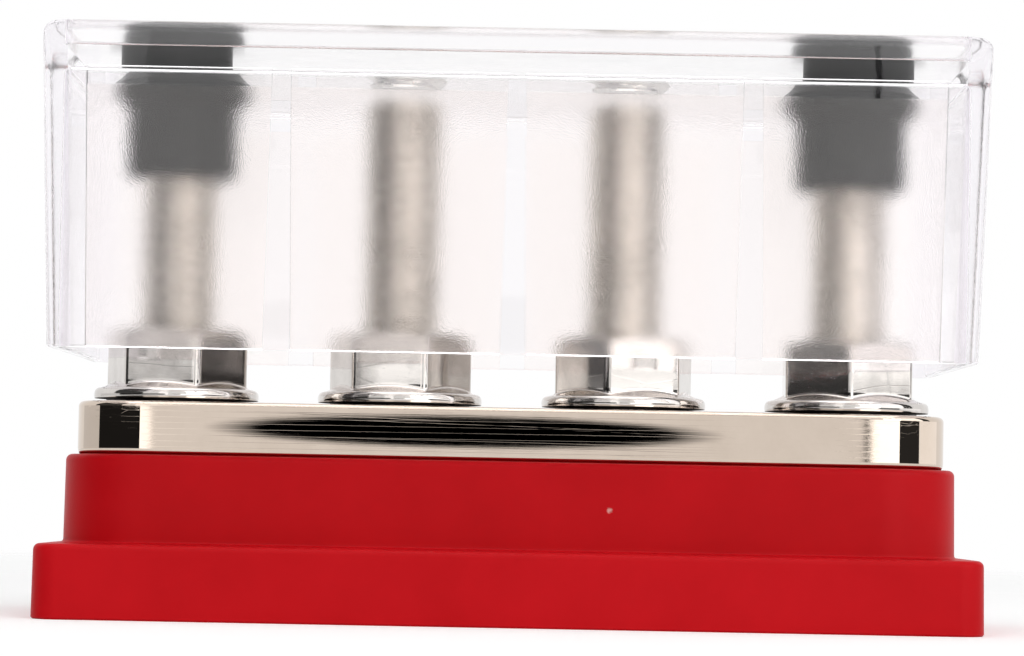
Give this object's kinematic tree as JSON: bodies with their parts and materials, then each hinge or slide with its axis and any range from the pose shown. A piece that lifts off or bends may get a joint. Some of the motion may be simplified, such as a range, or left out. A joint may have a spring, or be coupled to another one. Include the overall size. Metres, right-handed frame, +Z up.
{
  "type": "covered power bus bar",
  "caption": "Power bus bar: stepped moulded base, thick plated bar with a row of threaded studs and flange nuts, and a clear push-on cover held by soft bushings on the end studs.",
  "frame": {"origin": "middle of the base's foot, on the surface that the part stands on", "axes": "+X along the row of studs, +Y from the front of the cover to its back, +Z up along the studs"},
  "size_m": [0.103, 0.0466, 0.0667],
  "materials": {
    "red_moulding": "satin moulded plastic",
    "plated_bar": "bright nickel plating over a brushed bar",
    "stud_steel": "plain steel thread",
    "nut_steel": "bright plated steel",
    "clear_moulding": "clear polished plastic with frosted panels",
    "black_rubber": "smooth black rubber"
  },
  "bodies": {
    "base_assembly": {"base": "red_moulding", "bus_bar": "plated_bar", "stud_1": "stud_steel", "stud_2": "stud_steel", "stud_3": "stud_steel", "stud_4": "stud_steel"},
    "cover_assembly": {"cover": "clear_moulding", "cover_bushing_left": "black_rubber", "cover_bushing_right": "black_rubber"},
    "nut_1": {"nut_1": "nut_steel"},
    "nut_2": {"nut_2": "nut_steel"},
    "nut_3": {"nut_3": "nut_steel"},
    "nut_4": {"nut_4": "nut_steel"}
  },
  "joints": [
    {"name": "cover_lift", "type": "slide", "parent": "base_assembly", "child": "cover_assembly", "axis": [0, 0, 1], "range_m": [0, 0.04]},
    {"name": "nut_1_travel", "type": "slide", "parent": "base_assembly", "child": "nut_1", "axis": [0, 0, 1], "range_m": [0, 0.016]},
    {"name": "nut_2_travel", "type": "slide", "parent": "base_assembly", "child": "nut_2", "axis": [0, 0, 1], "range_m": [0, 0.026]},
    {"name": "nut_3_travel", "type": "slide", "parent": "base_assembly", "child": "nut_3", "axis": [0, 0, 1], "range_m": [0, 0.026]},
    {"name": "nut_4_travel", "type": "slide", "parent": "base_assembly", "child": "nut_4", "axis": [0, 0, 1], "range_m": [0, 0.016]}
  ]
}
